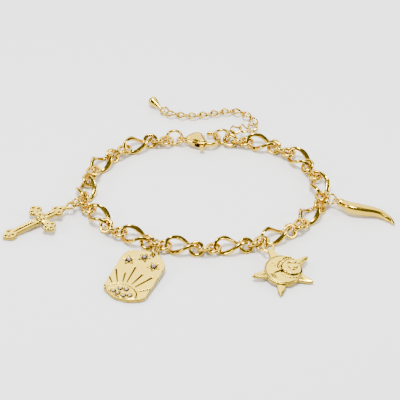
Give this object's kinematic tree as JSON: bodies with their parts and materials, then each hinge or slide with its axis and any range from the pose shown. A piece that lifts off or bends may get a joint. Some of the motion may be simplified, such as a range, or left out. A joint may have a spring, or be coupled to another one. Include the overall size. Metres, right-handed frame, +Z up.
{
  "type": "charm anklet",
  "caption": "Gold-tone charm anklet: twisted oval links with small round rings, lobster clasp, extender with a drop, and cross, sun tag, sun and moon, and horn charms.",
  "frame": {"origin": "middle of the footprint, on the surface that the anklet lies on", "axes": "+X along the loop's long side, from the cross towards the horn; +Y towards the clasp and the extender; +Z up"},
  "size_m": [0.1262, 0.1034, 0.0061],
  "materials": {
    "gold": "polished gold plate"
  },
  "bodies": {
    "anklet": {"long_link_01": "gold", "ring_trio_01": "gold", "long_link_02": "gold", "ring_trio_02": "gold", "long_link_03": "gold", "ring_trio_03": "gold", "long_link_04": "gold", "ring_trio_04": "gold", "long_link_05": "gold", "ring_trio_05": "gold", "long_link_06": "gold", "ring_trio_06": "gold", "long_link_07": "gold", "ring_trio_07": "gold", "long_link_08": "gold", "ring_trio_08": "gold", "long_link_09": "gold", "ring_trio_09": "gold", "long_link_10": "gold", "ring_trio_10": "gold", "long_link_11": "gold", "ring_trio_11": "gold", "long_link_12": "gold", "ring_trio_12": "gold", "jump_ring_eye": "gold", "jump_ring_hook": "gold", "clasp_body": "gold", "ring_trio_13": "gold", "extender_chain": "gold", "end_drop": "gold", "charm_cross": "gold", "charm_tag": "gold", "charm_sun_moon": "gold", "charm_horn": "gold", "jump_ring_tag_upper": "gold", "jump_ring_tag_lower": "gold", "jump_ring_cross": "gold", "jump_ring_sun_moon": "gold", "jump_ring_horn": "gold"},
    "lever": {"clasp_lever": "gold"}
  },
  "joints": [
    {"name": "clasp_lever_hinge", "type": "hinge", "parent": "anklet", "child": "lever", "pos_m": [0.00036, 0.02643, 0.00225], "axis": [0, 0, -1], "range_deg": [0, 22], "stiffness_Nm_per_rad": 0.0002}
  ]
}
